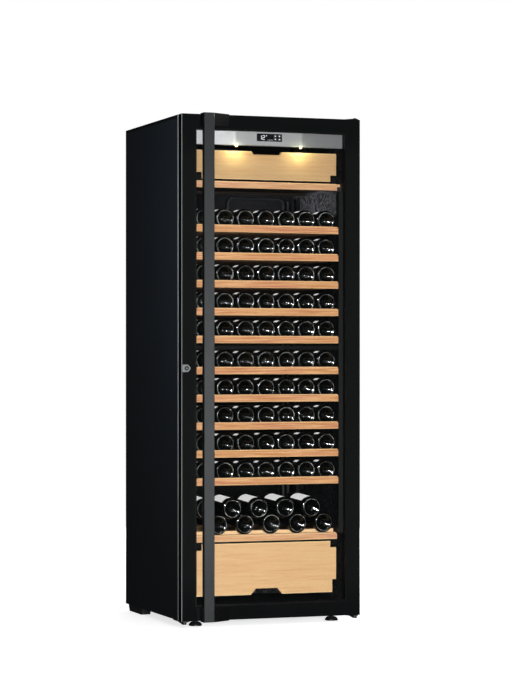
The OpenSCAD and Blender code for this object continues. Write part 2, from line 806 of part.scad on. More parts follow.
// Wedge-shaped stand-offs that join the grip's ends to the glass.
module handle_end_blocks() {
    y0 = glass_y - grip_out;
    x1 = grip_x + grip_w;
    color("#17181a") from_front()
        for (z = [door_z - grip_over, door_z + door_h + grip_over - grip_block_h])
            translate([0, 0, z]) linear_extrude(grip_block_h)
                polygon([[grip_x, y0 + grip_t], [x1, y0 + grip_t], [x1, y0 + 2.5],
                         [x1 + grip_wedge, glass_y], [grip_x, glass_y]]);
}

// Shield-shaped escutcheon around the key barrel, with its point to the right.
module lock_plate() {
    back = 16;
    h = 13;
    color("#c3c5c7") from_front() difference() {
        translate([lock_x, glass_y, lock_z]) rotate([90, 0, 0]) linear_extrude(2.5)
            polygon([[-back, h], [5, h], [14, 3], [14, -3], [5, -h], [-back, -h]]);
        rod_y([lock_x, glass_y - 4, lock_z], lock_r + run_gap, 6);
    }
}

// Key barrel through the door with the cam that hooks behind the front frame when turned.
module lock_cylinder() {
    face_y = glass_y - 3.5;
    color("#d9dadc") from_front() difference() {
        union() {
            rod_y([lock_x, face_y, lock_z], lock_r, cam_y + cam_t - face_y);
            translate([lock_x, cam_y + cam_t / 2, lock_z]) cube([cam_w, cam_t, cam_len], center = true);
        }
        translate([lock_x, face_y, lock_z]) cube([1.6, 8, 8], center = true);
    }
}

side_panel_left();
side_panel_right();
top_panel();
rear_panel();
base_plate();
insulation();
inner_liner();
front_frame();
shelf_strips();
slide_rails();
evaporator_panel();
refrigerant_lines();
fan_housing();
fan_rotor();
charcoal_filter();
middle_crossbar();
upper_shelf();
storage_shelf();
control_fascia();
display_window();
control_board();
key_up();
key_down();
key_light();
key_set();
lamps();
upper_flap();
lower_flap();
flap_hinge_blocks();
door_glass_outer();
door_glass_inner();
glass_spacer();
door_frame();
door_gasket();
handle_bar();
handle_end_blocks();
lock_plate();
lock_cylinder();
hinge_bushes();
hinge_plate_top();
hinge_plate_bottom();
corner_bracket();
foot_left();
foot_right();
rear_skids();
compressor();
condenser();
rear_grille();
power_inlet();
screws();
for (n = [1:10])
    sliding_shelf(n);
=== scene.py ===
import json
import math
import random

import bpy
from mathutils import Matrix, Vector

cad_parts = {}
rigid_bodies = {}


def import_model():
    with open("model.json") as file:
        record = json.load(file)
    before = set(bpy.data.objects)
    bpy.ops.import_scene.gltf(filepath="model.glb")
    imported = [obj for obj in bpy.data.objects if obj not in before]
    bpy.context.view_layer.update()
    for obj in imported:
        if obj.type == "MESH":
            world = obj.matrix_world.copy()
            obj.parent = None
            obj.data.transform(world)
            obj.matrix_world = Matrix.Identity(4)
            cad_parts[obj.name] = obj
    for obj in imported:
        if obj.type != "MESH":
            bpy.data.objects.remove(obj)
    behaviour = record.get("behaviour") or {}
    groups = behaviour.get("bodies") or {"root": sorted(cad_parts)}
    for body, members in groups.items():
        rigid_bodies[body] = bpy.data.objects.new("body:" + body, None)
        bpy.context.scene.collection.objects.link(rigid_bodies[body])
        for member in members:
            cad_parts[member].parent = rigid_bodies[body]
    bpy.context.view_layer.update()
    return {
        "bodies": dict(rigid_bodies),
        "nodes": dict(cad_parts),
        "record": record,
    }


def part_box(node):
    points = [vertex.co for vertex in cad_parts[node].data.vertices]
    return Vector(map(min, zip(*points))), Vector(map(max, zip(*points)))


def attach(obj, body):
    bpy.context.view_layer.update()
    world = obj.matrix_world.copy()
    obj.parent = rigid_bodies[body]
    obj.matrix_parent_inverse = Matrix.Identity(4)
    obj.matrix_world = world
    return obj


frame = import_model()
random.seed(7)

MM = 0.001


def low(node):
    """The lowest corner of a CAD node's box at rest."""
    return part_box(node)[0]


def high(node):
    """The highest corner of a CAD node's box at rest."""
    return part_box(node)[1]


# ---------------------------------------------------------------- materials

class Look:
    """A Principled material under construction.

    use fills the shader's own sockets. The other methods make nodes and return an output socket."""

    def __init__(self, name, **values):
        self.material = bpy.data.materials.new(name)
        self.material.use_nodes = True
        self.tree = self.material.node_tree
        self.shader = self.tree.nodes["Principled BSDF"]
        for socket, value in values.items():
            self.shader.inputs[socket.replace("_", " ")].default_value = value
        self.place = self.add("TexCoord", out="Object")

    def add(self, kind, props=(), out=0, **inputs):
        """A new shader node. Its inputs go by name, or by number as i0, i1 and so on."""
        node = self.tree.nodes.new("ShaderNode" + kind)
        for key, value in dict(props).items():
            setattr(node, key, value)
        for key, value in inputs.items():
            where = int(key[1:]) if key[1:].isdigit() else key.replace("_", " ")
            self.put(node.inputs[where], value)
        return node.outputs[out]

    def put(self, socket, value):
        if isinstance(value, bpy.types.NodeSocket):
            self.tree.links.new(value, socket)
        else:
            socket.default_value = value

    def use(self, **sockets):
        for name, value in sockets.items():
            self.put(self.shader.inputs[name.replace("_", " ")], value)
        return self

    def noise(self, scale, detail=3.0, stretch=(1, 1, 1), shift=(0, 0, 0), warp=0.0):
        where = self.add("Mapping", Vector=self.place, Scale=stretch, Location=shift)
        return self.add("TexNoise", Vector=where, Scale=scale, Detail=detail, Distortion=warp)

    def math(self, operation, a, b=0.0):
        return self.add("Math", props={"operation": operation}, i0=a, i1=b)

    def fit(self, value, a, b, c, d):
        """value from the range a..b to the range c..d, clamped."""
        return self.add("MapRange", Value=value, From_Min=a, From_Max=b, To_Min=c, To_Max=d)

    def mix(self, share, a, b):
        return self.add("Mix", props={"data_type": "RGBA"}, out=2, i0=share, i6=a, i7=b)

    def bump(self, height, depth):
        return self.add("Bump", Height=height, Distance=depth, Strength=1.0)

    def axis(self, name):
        return self.add("SeparateXYZ", Vector=self.place, out=name)

    def inside(self, value, a, b, soft=0.0004):
        """1 where a < value < b, with a soft edge."""
        up = self.fit(value, a - soft, a + soft, 0.0, 1.0)
        down = self.fit(value, b - soft, b + soft, 1.0, 0.0)
        return self.math("MULTIPLY", up, down)


def rgb(r, g, b):
    """Linear colour from 0..255 sRGB values."""
    def line(c):
        c /= 255
        return c / 12.92 if c <= 0.04045 else ((c + 0.055) / 1.055) ** 2.4
    return (line(r), line(g), line(b), 1.0)


def shaded(colour, factor):
    """A colour made brighter or darker by factor."""
    return tuple(min(1.0, c * factor) for c in colour[:3]) + (1.0,)


def shades(tones, factor):
    return [shaded(tone, factor) for tone in tones]


def paint(name, colour, rough, peel=420, depth=0.00012, spec=0.5, wear=0.05):
    """Powder-coated sheet: orange peel, faint tone drift and a little handling wear in the gloss."""
    look = Look(name, Specular_IOR_Level=spec)
    drift = look.noise(3.0, 4.0)
    grain = look.noise(peel, 2.0)
    haze = look.noise(14, 5.0)
    look.use(
        Base_Color=look.mix(drift, shaded(colour, 0.85), shaded(colour, 1.15)),
        Roughness=look.fit(haze, 0.3, 0.7, rough - wear, rough + wear),
        Normal=look.bump(grain, depth))
    return look


def plastic(name, colour, rough, spark=900, depth=0.00006, spec=0.5):
    """Moulded plastic with a fine spark-eroded surface."""
    look = Look(name, Specular_IOR_Level=spec)
    cells = look.noise(spark, 2.0)
    drift = look.noise(9, 3.0)
    look.use(
        Base_Color=look.mix(drift, shaded(colour, 0.82), shaded(colour, 1.18)),
        Roughness=look.fit(cells, 0.35, 0.65, rough - 0.06, rough + 0.06),
        Normal=look.bump(cells, depth))
    return look


def brushed(name, colour, rough, stretch, metal=1.0):
    """Metal with fine brush lines along the axis whose stretch is small."""
    look = Look(name, Metallic=metal)
    lines = look.noise(1.0, 3.0, stretch=stretch)
    fine = look.noise(3.0, 2.0, stretch=stretch)
    patches = look.noise(7, 3.0)
    look.use(
        Base_Color=look.mix(lines, shaded(colour, 0.88), shaded(colour, 1.1)),
        Roughness=look.math("ADD", look.fit(lines, 0.3, 0.7, rough - 0.07, rough + 0.07),
                            look.fit(patches, 0.3, 0.7, -0.02, 0.03)),
        Normal=look.bump(fine, 0.00004))
    return look


BOARD_T = 0.019                                         # thickness of a front board
# Painted highlight bands: how far below the top and above the foot of a front board they lie, and their soft
# edge.
ARRIS_TOP, ARRIS_FOOT, ARRIS_SOFT = 0.003, 0.0025, 0.001


def wood(node, tones, contrast=1.0, face=None, behind=1.0):
    """Beech planed along X: soft streaks, pink zones, short dark flecks and open pores.

    Each board draws its own piece of grain. Painted highlight makes the front board's top and foot edges
    paler, painted shade darkens the faces that look down, and behind sets the painted shade behind the front
    board.
    face is the height of the front board's foot and top, where they aren't the node's own."""
    look = Look(node + "_wood", Specular_IOR_Level=0.3)
    pale, tan, pink = (shaded(tone, random.uniform(0.95, 1.04)) for tone in tones)
    own = [random.uniform(-40, 40) for _ in range(3)]
    zones = look.noise(1.0, 3.0, stretch=(2.6, 9, 34), shift=own, warp=0.6)
    streaks = look.noise(1.0, 4.0, stretch=(7, 110, 210), shift=own, warp=0.5)
    fine = look.noise(1.0, 3.0, stretch=(30, 700, 900), shift=own)
    flecks = look.noise(1.0, 1.0, stretch=(150, 900, 1100), shift=own)
    tint = look.mix(look.fit(zones, 0.42, 0.62, 0.0, 0.9 * contrast), tan, pink)
    tint = look.mix(look.fit(streaks, 0.4, 0.66, 0.0, 0.85 * contrast), tint, pale)
    tint = look.mix(look.fit(streaks, 0.28, 0.4, 0.4 * contrast, 0.0), tint, shaded(tan, 0.62))
    tint = look.mix(look.fit(fine, 0.35, 0.6, 0.16 * contrast, 0.0), tint, shaded(tan, 0.55))
    tint = look.mix(look.fit(flecks, 0.64, 0.72, 0.0, 0.4 * contrast), tint, shaded(tan, 0.4))
    foot, top = face or (low(node).z, high(node).z)
    foot, top, z = foot + ARRIS_FOOT, top - ARRIS_TOP, look.axis("Z")
    # Painted highlight: a paler band along the top and foot edges of the front board.
    edge_highlight = look.math("MAXIMUM", look.fit(z, top - ARRIS_SOFT, top + ARRIS_SOFT, 0.0, 1.0),
                      look.fit(z, foot - ARRIS_SOFT, foot + ARRIS_SOFT, 1.0, 0.0))
    tint = look.mix(look.math("MULTIPLY", edge_highlight, 0.75), tint, shaded(pale, 1.3))
    # Painted shade: faces that look down are darkened almost to black.
    normal = look.add("NewGeometry", out="Normal")
    down = look.fit(look.add("SeparateXYZ", Vector=normal, out="Z"), -0.9, -0.5, 1.0, 0.0)
    tint = look.mix(down, tint, shaded(tan, 0.05))
    # Painted shade: what lies behind the front board is darkened by the factor behind.
    if behind < 1.0:
        board_back = low(node).y + BOARD_T
        back = look.fit(look.axis("Y"), board_back - 0.0005, board_back + 0.0005, 0.0, 1.0)
        tint = look.mix(back, tint, shaded(tan, behind))
    grain = look.math("ADD", fine, look.math("MULTIPLY", flecks, -0.5))
    look.use(Base_Color=tint, Roughness=look.fit(streaks, 0.3, 0.7, 0.56, 0.46),
             Normal=look.bump(grain, 0.00012))
    return look


def stucco(name, colour):
    """Embossed liner sheet: pebbled bumps with painted highlight on the crests and painted shade in the
    hollows, duller gloss and painted shade on the rear wall.
    """
    look = Look(name, Metallic=0.15, Specular_IOR_Level=0.1)
    pebbles = look.add("TexVoronoi", Vector=look.place, Scale=95.0,
                       props={"feature": "SMOOTH_F1"}, out="Distance")
    crest = look.fit(pebbles, 0.1, 0.6, 1.0, 0.0)
    grit = look.noise(260, 3.0)
    height = look.math("ADD", crest, look.math("MULTIPLY", grit, 0.6))
    wall = high("inner_liner").y
    # Painted shade: the rear wall is darkened, and its gloss dulled.
    rear = look.fit(look.axis("Y"), wall - 0.06, wall - 0.02, 0.0, 1.0)
    # Painted light: pebble crests brighter as highlight, hollows darker as shade.
    tone = look.mix(crest, shaded(colour, 0.3), shaded(colour, 2.4))
    look.use(Base_Color=look.mix(rear, tone, shaded(colour, 0.3)),
             Roughness=look.math("ADD", look.fit(grit, 0.3, 0.7, 0.4, 0.54),
                                 look.math("MULTIPLY", rear, 0.4)),
             Normal=look.bump(height, 0.0011))
    return look


def rubber(name, colour):
    """Dull extruded rubber with a faint bloom and fine ribs along Z."""
    look = Look(name, Specular_IOR_Level=0.3)
    bloom = look.noise(40, 4.0)
    ribs = look.noise(1.0, 2.0, stretch=(900, 900, 12))
    look.use(Base_Color=look.mix(bloom, shaded(colour, 0.75), shaded(colour, 1.3)),
             Roughness=look.fit(bloom, 0.3, 0.7, 0.62, 0.78), Normal=look.bump(ribs, 0.00008))
    return look


def foam(name, colour):
    """Rigid foam with open cells."""
    look = Look(name, Specular_IOR_Level=0.2)
    cells = look.add("TexVoronoi", Vector=look.place, Scale=420.0, out="Distance")
    drift = look.noise(6, 4.0)
    look.use(Base_Color=look.mix(drift, shaded(colour, 0.8), shaded(colour, 1.15)),
             Roughness=look.fit(drift, 0.3, 0.7, 0.85, 0.95), Normal=look.bump(cells, 0.0007))
    return look


def pane(name, edge, border_x, border_z, film):
    """Clear pane with a printed black border outside border_x and border_z, and a pale ground edge that
    glows with painted light.

    film is how much of the light the clear part stops."""
    look = Look(name, Specular_IOR_Level=0.24)
    x = look.math("ABSOLUTE", look.axis("X"))
    clear = look.math("MULTIPLY", look.inside(x, -1.0, border_x), look.inside(look.axis("Z"), *border_z))
    dust = look.noise(5.0, 5.0)
    side, face = high("door_glass_outer").x, low("door_glass_outer").y
    ground_rim_and_glow = look.math("MULTIPLY", look.fit(x, side - 0.0004, side - 0.0002, 0.0, 1.0),
                    look.inside(look.axis("Y"), face + 0.0002, 1.0))
    print_black = look.mix(dust, rgb(9, 11, 11), rgb(13, 16, 16))
    colour = look.mix(clear, print_black, rgb(14, 17, 17))
    # The ground edge is pale and glows with painted light.
    look.use(Base_Color=look.mix(ground_rim_and_glow, colour, edge), Emission_Color=edge,
             Emission_Strength=look.math("MULTIPLY", ground_rim_and_glow, 0.4),
             Roughness=look.fit(dust, 0.3, 0.7, 0.05, 0.09),
             Alpha=look.math("SUBTRACT", 1.0, look.math("MULTIPLY", clear, 1.0 - film)))
    return look


def inner_pane(name):
    """Clear pane with a light haze."""
    look = Look(name, Specular_IOR_Level=0.18)
    haze = look.noise(4.0, 5.0)
    look.use(Base_Color=look.mix(haze, rgb(20, 24, 24), rgb(30, 34, 34)),
             Roughness=look.fit(haze, 0.3, 0.7, 0.05, 0.1),
             Alpha=look.fit(haze, 0.3, 0.7, 0.025, 0.035))
    return look


# Bands on the side sheet: the dark cap seam, the hemmed strip that carries a painted highlight, the dark
# gap, and the folded front edge that carries a painted highlight.
CAP_H, HEM_W, GAP_W, FRONT_HEM_W = 0.011, 0.007, 0.010, 0.005
BEYOND = 2.0                    # further out than any point of the object


def side_skin(name, colour):
    """Satin black side sheet: a dark cap seam at its top and a dark gap at its rear, with painted highlights
    that make the hemmed strip behind the gap paler and the folded edge at its front bright."""
    look = paint(name, colour, 0.45, peel=520, depth=0.0001, wear=0.015)
    z, y = look.axis("Z"), look.axis("Y")
    base = look.shader.inputs["Base Color"].links[0].from_socket
    top, back, front = high("side_panel_left").z, high("side_panel_left").y, low("side_panel_left").y
    seam = look.inside(z, top - CAP_H, BEYOND, 0.0006)
    gap = look.inside(y, back - HEM_W - GAP_W, back - HEM_W, 0.0008)
    # Painted highlight: the hemmed strip at the rear is made paler.
    rear_hem_highlight = look.inside(y, back - HEM_W, BEYOND, 0.0006)
    tone = look.mix(look.math("MAXIMUM", seam, gap), base, shaded(colour, 0.15))
    tone = look.mix(look.math("MULTIPLY", rear_hem_highlight, look.math("SUBTRACT", 1.0, seam)), tone,
                    shaded(colour, 2.6))
    # Painted highlight: the folded front edge is made bright.
    front_fold_highlight = look.inside(y, front - 0.0005, front + FRONT_HEM_W, 0.0003)
    return look.use(Base_Color=look.mix(front_fold_highlight, tone, rgb(76, 81, 83)))


def lit(name, colour, strength, base):
    """Plastic that glows in colour, with a faintly speckled surface."""
    look = Look(name, Emission_Strength=strength, Roughness=0.35)
    spots = look.noise(700, 2.0)
    look.use(Base_Color=look.mix(spots, shaded(base, 0.9), base),
             Emission_Color=look.mix(spots, shaded(colour, 0.85), colour),
             Normal=look.bump(spots, 0.00005))
    return look


def bottle_glass(name):
    """Near-black green glass with a thin film of dust that dulls patches of it."""
    look = Look(name, Specular_IOR_Level=0.5)
    film = look.noise(30, 4.0)
    ripple = look.noise(26, 2.0)
    look.use(Base_Color=look.mix(film, rgb(3, 5, 4), rgb(8, 11, 9)),
             Roughness=look.fit(film, 0.35, 0.7, 0.08, 0.14), Normal=look.bump(ripple, 0.00016))
    return look


def ring_glass(name):
    """The stippled resting ring: ground knurls that scatter the light, pale in broken arcs that are partly
    the stipple's own colour and partly painted highlight.
    """
    look = Look(name, Specular_IOR_Level=0.5)
    knurls = look.noise(900, 2.0)
    # Pale arcs where this noise is high, dark glass between: partly the stipple's own colour, partly painted
    # highlight.
    stipple_and_highlight_arcs = look.fit(look.noise(34, 3.0), 0.47, 0.58, 0.0, 1.0)
    look.use(Base_Color=look.mix(stipple_and_highlight_arcs, rgb(10, 11, 11), rgb(128, 133, 131)),
             Roughness=look.fit(knurls, 0.35, 0.7, 0.3, 0.5), Normal=look.bump(knurls, 0.0003))
    return look


def label_paper(name):
    """Uncoated paper with fibres and grey blotches, brightened by a painted glow."""
    # Painted glow: the paper gives off a little white light.
    look = Look(name, Specular_IOR_Level=0.25, Emission_Color=(1, 1, 1, 1), Emission_Strength=0.6)
    fibres = look.noise(1.0, 4.0, stretch=(500, 160, 500))
    blotch = look.noise(60, 3.0)
    look.use(Base_Color=look.mix(look.fit(blotch, 0.55, 0.72, 0.0, 0.55),
                                 look.mix(fibres, rgb(214, 214, 212), rgb(240, 240, 238)),
                                 rgb(168, 168, 168)),
             Roughness=look.fit(fibres, 0.3, 0.7, 0.6, 0.75), Normal=look.bump(fibres, 0.00008))
    return look


# Painted shade: the radii of the dark ring round the keyway.
GROOVE_R = (0.0036, 0.0078)      # inner and outer radius of the groove round the keyway


def lock_metal(name, colour):
    """Satin metal, with a dark ring of painted shade round the keyway, as in a grooved recess."""
    look = brushed(name, colour, 0.42, (700, 700, 700))
    centre = (low("lock_cylinder") + high("lock_cylinder")) / 2
    offsets = [look.math("SUBTRACT", look.axis(axis), getattr(centre, axis.lower())) for axis in "XZ"]
    radius = look.math("SQRT", look.math("ADD", *(look.math("MULTIPLY", d, d) for d in offsets)))
    # Painted shade: the ring round the keyway is darkened almost to black.
    groove_shade = look.inside(radius, *GROOVE_R)
    base = look.shader.inputs["Base Color"].links[0].from_socket
    return look.use(Base_Color=look.mix(groove_shade, base, shaded(colour, 0.06)))


ALONG_X, ALONG_Y, ALONG_Z = (25, 2200, 2200), (900, 25, 900), (2200, 2200, 25)
LOOKS = {
    "black_steel": side_skin("black_steel", rgb(11, 14, 18)),
    "rear_steel": paint("rear_steel", rgb(44, 46, 48), 0.5, peel=300),
    "foam": foam("foam", rgb(132, 126, 108)),
    "liner_sheet": stucco("liner_sheet", rgb(42, 42, 45)),
    "black_moulding": plastic("black_moulding", rgb(7, 8, 8), 0.5, spec=0.1),
    "strip_plastic": plastic("strip_plastic", rgb(12, 13, 14), 0.5, spec=0.2),
    "rail_steel": brushed("rail_steel", rgb(24, 25, 27), 0.42, ALONG_Y),
    "cold_plate": paint("cold_plate", rgb(22, 23, 25), 0.6, peel=260, spec=0.08),
    "tube": paint("tube", rgb(64, 66, 69), 0.35, peel=200),
    "fan_plastic": plastic("fan_plastic", rgb(34, 35, 38), 0.45),
    "brushed_fascia": brushed("brushed_fascia", rgb(180, 181, 183), 0.46, ALONG_X),
    "display": plastic("display", rgb(16, 18, 20), 0.16, spark=300, depth=0.00002),
    "key": plastic("key", rgb(58, 61, 64), 0.45),
    "lamp": lit("lamp", rgb(255, 240, 170), 1.8, rgb(255, 250, 225)),
    "clear_glass": inner_pane("clear_glass"),
    "spacer": plastic("spacer", rgb(5, 5, 6), 0.55, spec=0.1),
    "gasket_rubber": rubber("gasket_rubber", rgb(20, 20, 18)),
    "grip_metal": brushed("grip_metal", rgb(33, 35, 36), 0.42, ALONG_Z, metal=0.8),
    "lock_metal": lock_metal("lock_metal", rgb(100, 103, 103)),
    "bush": plastic("bush", rgb(222, 216, 200), 0.4),
    "foot_plastic": plastic("foot_plastic", rgb(24, 25, 26), 0.2, spec=0.9),
    "skid_plastic": plastic("skid_plastic", rgb(52, 53, 55), 0.5),
    "compressor_black": paint("compressor_black", rgb(22, 23, 25), 0.28, peel=160),
    "condenser_black": paint("condenser_black", rgb(34, 35, 37), 0.4, peel=260),
    "inlet_plastic": plastic("inlet_plastic", rgb(18, 18, 19), 0.42),
    "zinc_screw": brushed("zinc_screw", rgb(176, 178, 180), 0.34, (900, 900, 900)),
}


# Pale streaks, tan ground and pink zones of the sliding boards, the flaps and the two fixed shelves.
BOARD_TONES = [rgb(236, 184, 130), rgb(201, 138, 83), rgb(198, 126, 90)]
FLAP_TONES = [rgb(234, 195, 143), rgb(226, 183, 129), rgb(222, 172, 120)]
FIXED_TONES = [rgb(238, 192, 144), rgb(213, 158, 108), rgb(214, 150, 116)]
STORAGE_BOARD_H = 0.0245        # height of the storage shelf's front board
BORDER_LAP = 0.0005             # how far the print on the pane laps over the spacer
# Door pieces that would keep the studio's light from the shelves.
SHADOWLESS = ("door_glass_outer", "door_glass_inner", "handle_bar", "handle_end_blocks", "door_frame",
              "glass_spacer", "door_gasket")


def wooden(node):
    """The beech of one board, toned for the light in its place."""
    if node == "upper_flap":
        return wood(node, shades(FLAP_TONES, 0.68), contrast=0.8)
    if node == "lower_flap":
        return wood(node, shades(FLAP_TONES, 1.1), contrast=0.8)
    if node == "upper_shelf":
        return wood(node, shades(FIXED_TONES, 0.86), behind=0.03)
    if node == "storage_shelf":
        foot = low(node).z
        return wood(node, shades(FIXED_TONES, 1.06), face=(foot, foot + STORAGE_BOARD_H))
    return wood(node, BOARD_TONES, behind=0.12)


def dress_nodes():
    """Gives every CAD node the material of its slot in the record. Each board has its own grain."""
    for row in frame["record"]["subparts"]:
        node, slot = row["node"], row["material_slot"]
        look = wooden(node) if "beech" in slot else LOOKS[slot]
        skin = frame["nodes"][node].data.materials
        skin.clear()
        skin.append(look.material)
    view_x = high("glass_spacer").x - BORDER_LAP
    view_z = (low("glass_spacer").z + BORDER_LAP, high("glass_spacer").z - BORDER_LAP)
    # Pale colour of the pane's ground edge, also the colour of its painted glow.
    outer = pane("door_pane", rgb(225, 235, 230), view_x, view_z, 0.03)
    frame["nodes"]["door_glass_outer"].data.materials[0] = outer.material
    for name in SHADOWLESS:
        frame["nodes"][name].visible_shadow = False


# ---------------------------------------------------------------- geometry

def put_in_scene(name, data):
    obj = bpy.data.objects.new(name, data)
    bpy.context.scene.collection.objects.link(obj)
    return obj


class Parts:
    """Vertices, faces and material numbers gathered for one mesh."""

    def __init__(self):
        self.points, self.faces, self.slots = [], [], []

    def add(self, points, faces, slot=0):
        start = len(self.points)
        self.points += points
        self.faces += [[start + i for i in face] for face in faces]
        self.slots += slot if isinstance(slot, list) else [slot] * len(faces)

    def make(self, name, materials, body, flat=()):
        """Builds the piece and sets it on its body. flat holds the material numbers that aren't smoothed."""
        mesh = bpy.data.meshes.new(name)
        mesh.from_pydata([tuple(p) for p in self.points], [], self.faces)
        for look in materials:
            mesh.materials.append(look.material)
        mesh.polygons.foreach_set("material_index", self.slots)
        mesh.polygons.foreach_set("use_smooth", [part not in flat for part in self.slots])
        mesh.update()
        piece = put_in_scene(name, mesh)
        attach(piece, body)
        return piece


# Stretches of a bottle's outline, from the middle of the punt to the mouth: radius and distance from
# the resting ring, in mm.
PUNT = [(0, 17), (1.4, 17.3), (2.6, 18.6), (4, 19.8), (6, 20), (8.5, 19.2), (12, 16.8), (16, 13),
        (20, 8.8), (23, 5.6), (25.5, 3), (27.5, 1.2)]
RESTING_RING = [(28.8, 0.35), (30, 0), (31.2, 0.3)]
HEEL = [(32.3, 0.9), (33.6, 2), (35, 3.8), (36.2, 6.2), (37, 9.2), (37.4, 13)]
WALL_R = 37.5
WALL = [(WALL_R, along) for along in (18, 60, 120, 186)]
SHOULDER = [(37.1, 195), (35.4, 204), (31.5, 214), (25.5, 224), (20, 232)]
NECK = [(16.4, 240), (15, 249), (14.6, 258), (14.6, 284)]
LIP = [(15.8, 285.5), (16.2, 288), (16.2, 294), (15.2, 297), (12.5, 299), (0, 299.4)]
BOTTLE = PUNT + RESTING_RING + HEEL + WALL + SHOULDER + NECK + LIP
CAPSULE_FROM = NECK[0][1]
TURNS = 48
GLASS, CAPSULE, LABEL, STIPPLE = 0, 1, 2, 3


def outline_part(i):
    """The material number of the band between points i and i + 1 of the bottle's outline."""
    if BOTTLE[i][1] >= CAPSULE_FROM:
        return CAPSULE
    return STIPPLE if BOTTLE[i] in RESTING_RING and BOTTLE[i + 1] in RESTING_RING else GLASS


def lathe_bottle(parts, base, radius, roll, rise):
    """Revolves the outline about a line through base that runs back along +Y and climbs by rise."""
    scale = radius / WALL_R
    points, faces, slots, rings = [], [], [], []
    for r, along in BOTTLE:
        count = TURNS if r else 1
        rings.append(range(len(points), len(points) + count))
        for k in range(count):
            a = roll + 2 * math.pi * k / TURNS
            x, y, z = r * scale * MM * math.cos(a), along * MM, r * scale * MM * math.sin(a)
            points.append(base + Vector((x, y, z + y * rise)))
    for i in range(len(BOTTLE) - 1):
        near, far = rings[i:i + 2]
        for k in range(TURNS):
            j = (k + 1) % TURNS
            quad = [near[k % len(near)], far[k % len(far)], far[j % len(far)], near[j % len(near)]]
            faces.append(list(dict.fromkeys(quad)))
            slots.append(outline_part(i))
    parts.add(points, faces, slots)


LABEL_STEPS = 28
PAPER_OUT, PAPER_IN = 0.00025, -0.0001          # the paper's faces, measured out from the glass


def wrap_label(parts, base, radius, start, stop, y_from, y_to, rise):
    """A paper label around part of a bottle, from angle start to stop and from y_from to y_to in mm."""
    outside, inside = radius * MM + PAPER_OUT, radius * MM + PAPER_IN
    section = [(outside, y_from * MM), (outside, y_to * MM), (inside, y_to * MM), (inside, y_from * MM)]
    points = []
    for k in range(LABEL_STEPS + 1):
        a = start + (stop - start) * k / LABEL_STEPS
        points += [base + Vector((r * math.cos(a), y, r * math.sin(a) + y * rise)) for r, y in section]
    faces = [[3, 2, 1, 0], [4 * LABEL_STEPS + s for s in range(4)]]
    for k in range(LABEL_STEPS):
        here, after = 4 * k, 4 * k + 4
        faces += [[here + s, here + (s + 1) % 4, after + (s + 1) % 4, after + s] for s in range(4)]
    parts.add(points, faces, LABEL)


def bottle_row(name, body, places, radius, rise=0.0, label_from=112, label_turn=17, label=(36, 72)):
    """One row of lying bottles, their bases to the front. places holds the middle of each resting ring.

    Labels start at label_from degrees, turn by label_turn and reach from label[0] to label[1] mm."""
    parts = Parts()
    for x, y, z in places:
        base = Vector((x, y + random.uniform(-0.002, 0.002), z))
        lathe_bottle(parts, base, radius, random.uniform(0, 6.28), rise)
        start = math.radians(label_from + random.uniform(-4, 4))
        wrap_label(parts, base, radius, start, start + math.radians(label_turn),
                   label[0] + random.uniform(-2, 2), label[1], rise)
    return parts.make(name, DRINK, body, flat=(LABEL,))


DRINK = [bottle_glass("bottle_glass"), paint("capsule_foil", rgb(60, 16, 22), 0.35, peel=90),
         label_paper("label_paper"), ring_glass("ring_glass")]
SLIDING_SHELVES, ROW_COUNT, STORAGE_COUNT = 10, 7, 5
BOTTLE_R, STORAGE_R = 37.4, 38.0                # mm
ROW_PITCH, STORAGE_PITCH = 0.078, 0.1015
ROW_SETBACK, LOWER_SETBACK, UPPER_SETBACK = 0.022, 0.019, 0.011         # behind the board's front
AXIS_ABOVE_BOARD = 0.0224
CRADLE_ABOVE_BOARD, CRADLE_DIP = 0.012, 0.0015
STORAGE_SHIFT = 1.75                            # pitches from the first bottle to the middle of the shelf


def fill_shelves():
    """Seven bottles on each sliding shelf, and two staggered rows of five in the storage shelf's cradles."""
    for n in range(1, SLIDING_SHELVES + 1):
        node = f"shelf_{n:02d}"
        y, z = low(node).y + ROW_SETBACK, high(node).z + AXIS_ABOVE_BOARD
        places = [((k - (ROW_COUNT - 1) / 2) * ROW_PITCH, y, z) for k in range(ROW_COUNT)]
        bottle_row(f"bottle_row_{n:02d}", "sliding_" + node, places, BOTTLE_R)
    front, board = low("storage_shelf").y, high("storage_shelf").z - CRADLE_ABOVE_BOARD
    axis = board - CRADLE_DIP + STORAGE_R * MM
    lower = [((k - STORAGE_SHIFT) * STORAGE_PITCH, front + LOWER_SETBACK, axis)
             for k in range(STORAGE_COUNT)]
    climb = math.sqrt((2 * STORAGE_R * MM) ** 2 - (STORAGE_PITCH / 2) ** 2)
    upper = [(x - STORAGE_PITCH / 2, front + UPPER_SETBACK, axis + climb) for x, _, _ in lower]
    bottle_row("storage_row_lower", "cabinet", lower, STORAGE_R)
    bottle_row("storage_row_upper", "cabinet", upper, STORAGE_R, rise=0.04, label_from=86, label_turn=59,
               label=(27, 142))


def bar(parts, a, b, width, y, depth):
    """A hexagonal bar from a to b in the XZ plane, its front at y."""
    a, b = Vector(a), Vector(b)
    along = (b - a).normalized()
    side = Vector((-along.y, along.x)) * width / 2
    tip = along * width / 2
    outline = [a, a + tip + side, b - tip + side, b, b - tip - side, a + tip - side]
    prism(parts, outline, y, depth)


def prism(parts, outline, y, depth):
    """An outline in the XZ plane, extruded back from y."""
    n = len(outline)
    points = [Vector((p[0], y, p[1])) for p in outline] + [Vector((p[0], y + depth, p[1])) for p in outline]
    faces = [list(range(n))[::-1], list(range(n, 2 * n))]
    faces += [[i, (i + 1) % n, n + (i + 1) % n, n + i] for i in range(n)]
    parts.add(points, faces)


